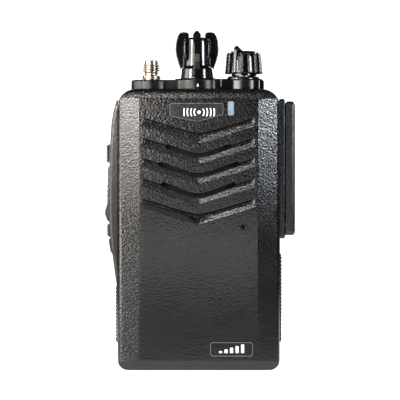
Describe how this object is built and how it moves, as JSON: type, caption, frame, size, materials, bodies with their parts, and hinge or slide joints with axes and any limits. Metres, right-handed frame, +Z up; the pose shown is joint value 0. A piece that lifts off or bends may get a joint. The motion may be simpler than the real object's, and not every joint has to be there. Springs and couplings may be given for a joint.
{
  "type": "portable two-way radio",
  "caption": "Handheld two-way radio with a chevron speaker grille, channel and volume knobs, side keys, slide-off battery and a covered side connector.",
  "frame": {"origin": "middle of the base, on the plane it stands on, 18 mm behind the front face", "axes": "+Z up along the radio, +Y from the front face to the battery, +X to the right as seen from the front"},
  "size_m": [0.0718, 0.0365, 0.1302],
  "materials": {
    "black_case": "fine grained moulded black polycarbonate, satin",
    "black_gloss": "glossy black plastic",
    "black_knob": "semi-gloss black plastic",
    "black_rubber": "matt black rubber",
    "lens": "pale translucent plastic",
    "jack_metal": "pale gold plated",
    "ptfe": "white insulator",
    "gold": "gold plated",
    "cast_metal": "die cast, dark painted at the head block",
    "steel": "bright steel",
    "board_green": "glass fibre board with solder mask",
    "cell_wrap": "shrink wrapped cell",
    "cone_paper": "pressed paper"
  },
  "bodies": {
    "radio": {"front_housing": "black_case", "badge_plate": "black_gloss", "model_label": "black_gloss", "indicator_lens": "lens", "rear_chassis": "cast_metal", "main_seal": "black_rubber", "chassis_screw_left": "steel", "chassis_screw_right": "steel", "main_board": "board_green", "rf_shield_upper": "steel", "rf_shield_lower": "steel", "battery_contact_block": "black_case", "channel_switch_body": "black_rubber", "channel_nut": "steel", "channel_seal": "black_rubber", "volume_pot_body": "black_rubber", "volume_nut": "steel", "volume_seal": "black_rubber", "control_plate": "black_gloss", "volume_collar": "black_gloss", "antenna_jack_barrel": "jack_metal", "antenna_insulator": "ptfe", "antenna_contact": "gold", "antenna_nut": "steel", "side_key_frame": "black_case", "ptt_dome": "steel", "top_key_dome": "steel", "side_key_dome_1": "steel", "side_key_dome_2": "steel", "key_membrane": "black_rubber", "key_board": "board_green", "accessory_connector_frame": "black_case", "accessory_contact_block": "black_rubber", "speaker_mesh": "black_rubber", "speaker_frame": "steel", "speaker_cone": "cone_paper", "speaker_magnet": "steel", "mic_boot": "black_rubber", "mic_capsule": "steel"},
    "channel_dial": {"channel_knob": "black_knob", "channel_shaft": "steel"},
    "volume_dial": {"volume_knob": "black_knob", "volume_shaft": "steel"},
    "ptt": {"ptt_button": "black_rubber"},
    "top_side_key": {"top_side_button": "black_rubber"},
    "side_key_1": {"side_button_1": "black_rubber"},
    "side_key_2": {"side_button_2": "black_rubber"},
    "dust_cover": {"accessory_dust_cover": "black_case"},
    "cover_screw": {"accessory_cover_screw": "steel"},
    "battery": {"battery_case": "black_case", "battery_inner_cover": "black_case", "battery_cell_left": "cell_wrap", "battery_cell_right": "cell_wrap", "battery_board": "board_green", "charge_contact_1": "gold", "charge_contact_2": "gold", "charge_contact_3": "gold", "latch_spring": "steel"},
    "latch": {"battery_latch": "black_case"}
  },
  "joints": [
    {"name": "channel_turn", "type": "hinge", "parent": "radio", "child": "channel_dial", "pos_m": [-0.00066, -0.003, 0.112], "axis": [0, 0, 1], "range_deg": [-157.5, 180]},
    {"name": "volume_turn", "type": "hinge", "parent": "radio", "child": "volume_dial", "pos_m": [0.0172, -0.003, 0.113], "axis": [0, 0, 1], "range_deg": [-300, 0]},
    {"name": "ptt_press", "type": "slide", "parent": "radio", "child": "ptt", "axis": [1, 0, 0], "range_m": [0, 0.0012], "stiffness_N_per_m": 3000},
    {"name": "top_key_press", "type": "slide", "parent": "radio", "child": "top_side_key", "axis": [1, 0, 0], "range_m": [0, 0.0008], "stiffness_N_per_m": 3000},
    {"name": "side_key_1_press", "type": "slide", "parent": "radio", "child": "side_key_1", "axis": [1, 0, 0], "range_m": [0, 0.0008], "stiffness_N_per_m": 3000},
    {"name": "side_key_2_press", "type": "slide", "parent": "radio", "child": "side_key_2", "axis": [1, 0, 0], "range_m": [0, 0.0008], "stiffness_N_per_m": 3000},
    {"name": "dust_cover_swing", "type": "hinge", "parent": "radio", "child": "dust_cover", "pos_m": [0.0333, -0.0045, 0.1022], "axis": [0, -1, 0], "range_deg": [0, 60]},
    {"name": "cover_screw_turn", "type": "hinge", "parent": "dust_cover", "child": "cover_screw", "pos_m": [0.035, -0.0045, 0.056], "axis": [1, 0, 0], "range_deg": [0, 1080]},
    {"name": "battery_slide", "type": "slide", "parent": "radio", "child": "battery", "axis": [0, 0, -1], "range_m": [0, 0.012]},
    {"name": "latch_release", "type": "slide", "parent": "battery", "child": "latch", "axis": [0, 1, 0], "range_m": [0, 0.0022], "stiffness_N_per_m": 1500, "deforming": ["latch_spring"]}
  ]
}
